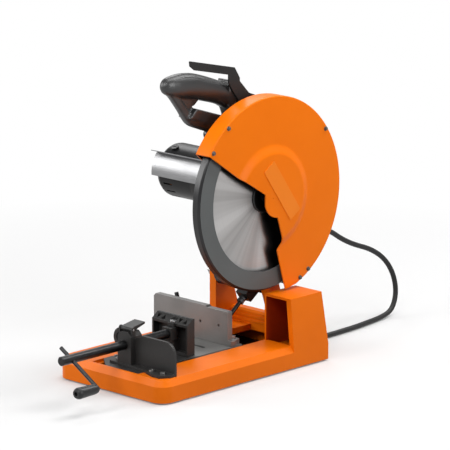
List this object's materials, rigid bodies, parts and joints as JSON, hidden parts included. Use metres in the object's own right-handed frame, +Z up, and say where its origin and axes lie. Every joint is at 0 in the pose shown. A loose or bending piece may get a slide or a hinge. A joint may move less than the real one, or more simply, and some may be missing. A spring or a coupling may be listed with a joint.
{
  "type": "metal-cutting chop saw",
  "caption": "Bench chop saw for metal: toothed disc blade in a hinged guarded head with a side motor, over a base with mitre fence and screw vice.",
  "frame": {"origin": "centre of the base's footprint at the bench surface, which is the centre of the four bench-bolt holes", "axes": "+X to the saw's right (blade side), +Y to its rear, +Z up"},
  "size_m": [0.3005, 0.9841, 0.615],
  "materials": {
    "orange_paint": "gloss",
    "black_paint": "satin",
    "black_casting": "satin",
    "dark_steel": "satin",
    "orange_casting": "gloss",
    "grey_casting": "matte",
    "dark_plate": "matte",
    "steel": "brushed",
    "bright_steel": "polished",
    "zinc": "satin",
    "guard_grey": "satin",
    "black_plastic": "satin",
    "rubber": "matte",
    "aluminium": "satin",
    "copper": "satin",
    "carbon": "matte",
    "red_plastic": "satin"
  },
  "bodies": {
    "base": {"base_frame": "orange_casting", "bottom_pan": "black_paint", "rubber_feet": "rubber", "bed_plate": "dark_plate", "bed_screws": "zinc", "fence_pivot_bolt": "zinc", "vise_bracket": "dark_plate", "bracket_bolts": "zinc", "release_housing": "dark_plate", "release_pin": "steel", "pivot_shaft": "steel", "pivot_nut": "zinc", "power_cord": "rubber", "cord_coil": "rubber", "power_plug": "rubber"},
    "fence": {"fence": "grey_casting", "fence_lock_bolt": "zinc"},
    "fence_lever": {"fence_lock_lever": "dark_steel"},
    "flap": {"release_flap": "black_paint"},
    "nut": {"half_nut": "steel"},
    "jaw_slide": {"jaw_carrier": "dark_plate", "jaw_pin": "steel"},
    "jaw": {"vise_jaw": "dark_plate"},
    "spindle": {"vise_spindle": "dark_steel", "crank_rod": "dark_steel"},
    "knob": {"crank_knob": "black_plastic"},
    "head": {"gear_case": "black_casting", "gear_cover": "aluminium", "case_screws": "zinc", "ball_bearings": "steel", "upper_guard": "orange_casting", "guard_cover": "orange_casting", "cover_screws": "zinc", "name_plate": "orange_paint", "motor_housing": "black_plastic", "motor_end_cap": "black_plastic", "brush_caps": "black_plastic", "carbon_brushes": "carbon", "field_coils": "copper", "chip_shield": "bright_steel", "handle_right": "black_plastic", "handle_left": "black_plastic", "handle_screws": "zinc", "hinge_pins": "steel", "lever_bracket": "black_paint", "depth_stop": "zinc", "strain_relief": "rubber"},
    "lower_guard": {"lower_guard": "guard_grey"},
    "blade": {"saw_blade": "steel", "arbor_shaft": "steel", "drive_gear": "steel", "inner_flange": "zinc", "outer_flange": "zinc", "arbor_bolt": "zinc"},
    "armature": {"armature": "steel", "cooling_fan": "black_plastic"},
    "trigger": {"trigger": "black_plastic"},
    "lock_off": {"lock_off_button": "red_plastic"},
    "blade_lock": {"spindle_lock_button": "black_plastic"},
    "lever": {"guard_lever": "black_paint"}
  },
  "joints": [
    {"name": "head_swing", "type": "hinge", "parent": "base", "child": "head", "pos_m": [0, 0.178, 0.15], "axis": [1, 0, 0], "range_deg": [0, 53.3], "stiffness_Nm_per_rad": 24, "springref_deg": -57.3},
    {"name": "lower_guard_turn", "type": "hinge", "parent": "head", "child": "lower_guard", "pos_m": [0.0615, 0.129, 0.333], "axis": [1, 0, 0], "range_deg": [-117.5, 0]},
    {"name": "blade_spin", "type": "hinge", "parent": "head", "child": "blade", "pos_m": [0.0615, 0.129, 0.333], "axis": [1, 0, 0], "continuous": true},
    {"name": "armature_spin", "type": "hinge", "parent": "head", "child": "armature", "pos_m": [-0.06, 0.062, 0.372], "axis": [1, 0, 0], "continuous": true},
    {"name": "trigger_pull", "type": "hinge", "parent": "head", "child": "trigger", "pos_m": [0, 0.056, 0.545], "axis": [1, 0, 0], "range_deg": [-8, 0], "stiffness_Nm_per_rad": 1.2, "springref_deg": 5.73},
    {"name": "lock_off_push", "type": "slide", "parent": "head", "child": "lock_off", "axis": [1, 0, 0], "range_m": [0, 0.003], "stiffness_N_per_m": 400, "springref_m": -0.002},
    {"name": "blade_lock_push", "type": "slide", "parent": "head", "child": "blade_lock", "axis": [1, 0, 0], "range_m": [0, 0.004], "stiffness_N_per_m": 600, "springref_m": -0.002},
    {"name": "lever_press", "type": "hinge", "parent": "head", "child": "lever", "pos_m": [0, 0.158, 0.513], "axis": [1, 0, 0], "range_deg": [0, 4], "stiffness_Nm_per_rad": 6, "springref_deg": -5.73},
    {"name": "fence_turn", "type": "hinge", "parent": "base", "child": "fence", "pos_m": [0.04, 0.067, 0.05], "axis": [0, 0, 1], "range_deg": [-30, 0]},
    {"name": "fence_lever_turn", "type": "hinge", "parent": "fence", "child": "fence_lever", "pos_m": [-0.092, 0.067, 0.064], "axis": [0, 0, 1], "range_deg": [-20, 0]},
    {"name": "flap_lift", "type": "hinge", "parent": "base", "child": "flap", "pos_m": [0.008, -0.188, 0.1186], "axis": [1, 0, 0], "range_deg": [0, 40]},
    {"name": "half_nut_lift", "type": "slide", "parent": "base", "child": "nut", "axis": [0, 0, 1], "range_m": [0, 0.0031]},
    {"name": "spindle_turn", "type": "hinge", "parent": "jaw_slide", "child": "spindle", "pos_m": [0.008, -0.2, 0.088], "axis": [0, 1, 0], "range_deg": [-5040, 5040]},
    {"name": "jaw_feed", "type": "slide", "parent": "base", "child": "jaw_slide", "axis": [0, 1, 0], "range_m": [-0.0701, 0.0701]},
    {"name": "jaw_swivel", "type": "hinge", "parent": "jaw_slide", "child": "jaw", "pos_m": [0.008, -0.063, 0.088], "axis": [0, 0, 1], "range_deg": [-15, 15]},
    {"name": "knob_turn", "type": "hinge", "parent": "spindle", "child": "knob", "pos_m": [0.07957, -0.365, 0.04499], "axis": [0, 1, 0], "continuous": true}
  ],
  "couplings": [
    {"joint": "lower_guard_turn", "follows": "head_swing", "ratio": -2.2},
    {"joint": "armature_spin", "follows": "blade_spin", "ratio": -2.875},
    {"joint": "half_nut_lift", "follows": "flap_lift", "m_per_rad": 0.0043},
    {"joint": "jaw_feed", "follows": "spindle_turn", "m_per_rad": 0.00079577}
  ]
}
